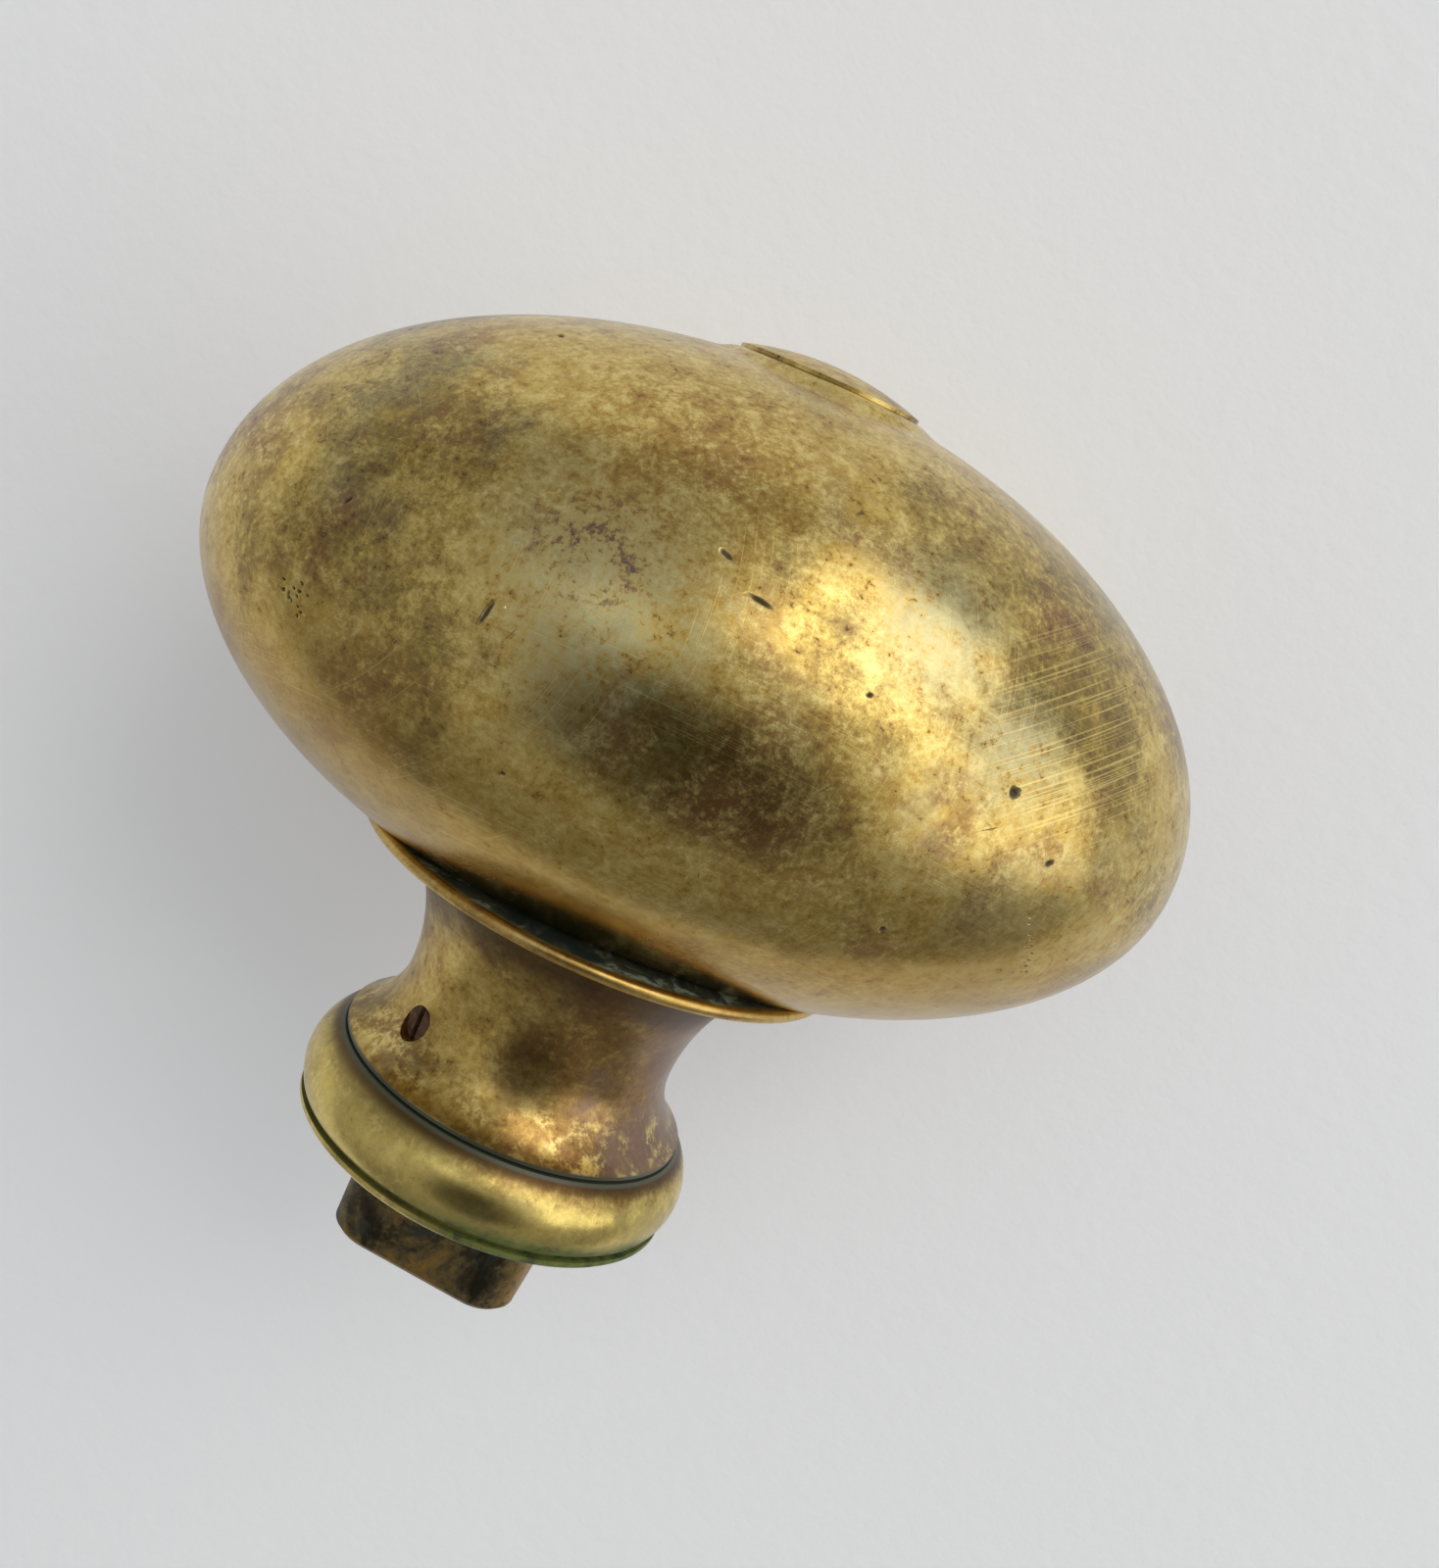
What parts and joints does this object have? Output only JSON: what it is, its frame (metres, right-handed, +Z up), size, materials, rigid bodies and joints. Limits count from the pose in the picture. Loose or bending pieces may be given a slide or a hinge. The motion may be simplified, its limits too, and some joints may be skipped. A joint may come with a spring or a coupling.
{
  "type": "door knob",
  "caption": "Oval hollow door knob on a waisted neck with a thin flat flange, a loose seating ring and a squared spigot with a spindle socket.",
  "frame": {"origin": "centre of the base ring's seating face, on the stem's axis", "axes": "+Y out of the spindle socket towards the door, -Y towards the knob's front, X along the head's long axis, +Z up across its short axis"},
  "size_m": [0.068, 0.0669, 0.048],
  "materials": {
    "aged_brass_head": "worn polish with brown and olive tarnish, casting pits and fine scratches",
    "aged_brass_cap": "worn polish with light tarnish",
    "aged_brass_flange": "worn bright at the rim, dark tarnish and green corrosion in the crevice under the head",
    "aged_brass_neck": "mottled olive and reddish brown tarnish over yellow brass",
    "yellow_brass_ring": "yellow polished bead with green corrosion in its lower groove",
    "dull_brass_core": "dull, dark and uneven, as cast and filed",
    "inner_brass": "plain turned",
    "rusty_steel": "brown rust"
  },
  "bodies": {
    "collar": {"base_ring": "yellow_brass_ring"},
    "knob": {"knob_head": "aged_brass_head", "front_cap": "aged_brass_cap", "seat_flange": "aged_brass_flange", "neck": "aged_brass_neck", "spindle_core": "dull_brass_core", "head_washer": "inner_brass", "head_nut": "inner_brass", "set_screw": "rusty_steel"}
  },
  "joints": [
    {"name": "knob_turn", "type": "hinge", "parent": "collar", "child": "knob", "pos_m": [0, 0, 0], "axis": [0, 1, 0], "continuous": true}
  ]
}
